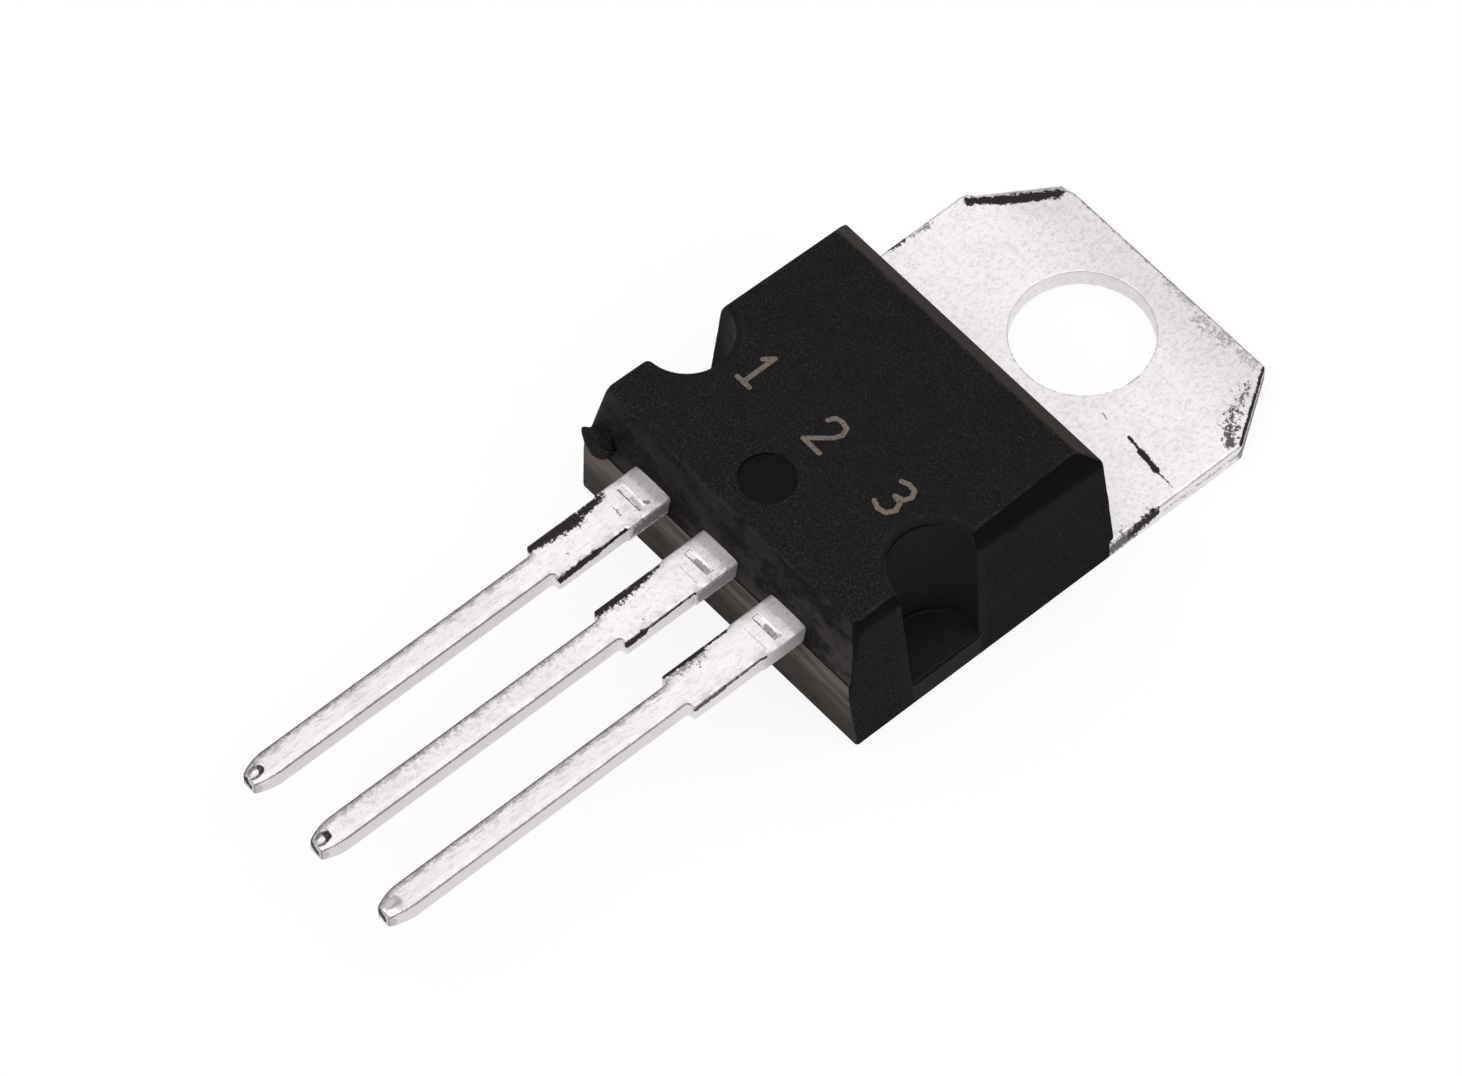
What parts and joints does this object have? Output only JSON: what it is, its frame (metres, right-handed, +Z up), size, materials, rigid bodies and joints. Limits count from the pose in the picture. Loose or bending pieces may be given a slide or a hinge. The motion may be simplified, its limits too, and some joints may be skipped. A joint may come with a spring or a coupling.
{
  "type": "voltage regulator",
  "caption": "Flat voltage regulator: black moulded body with side notches on a tinned metal strip, with straight leads at one end and a screw tab at the other.",
  "frame": {"origin": "on the axis of the screw hole, in the plane of the tab's back", "axes": "+X across the leads from the input lead to the output lead, +Y towards the free end of the tab, +Z up from the tab's back"},
  "size_m": [0.0104, 0.0282, 0.0046],
  "materials": {
    "moulding_compound": "matt, finely speckled",
    "tinned_strip": "matt tin over copper",
    "silicon": "polished",
    "solder": "dull",
    "bond_wire": "drawn wire"
  },
  "bodies": {
    "root": {"moulded_body": "moulding_compound", "tab_and_ground_lead": "tinned_strip", "input_lead": "tinned_strip", "output_lead": "tinned_strip", "silicon_die": "silicon", "die_solder": "solder", "input_bond_wire": "bond_wire", "output_bond_wire": "bond_wire", "ground_bond_wire": "bond_wire"}
  },
  "joints": []
}
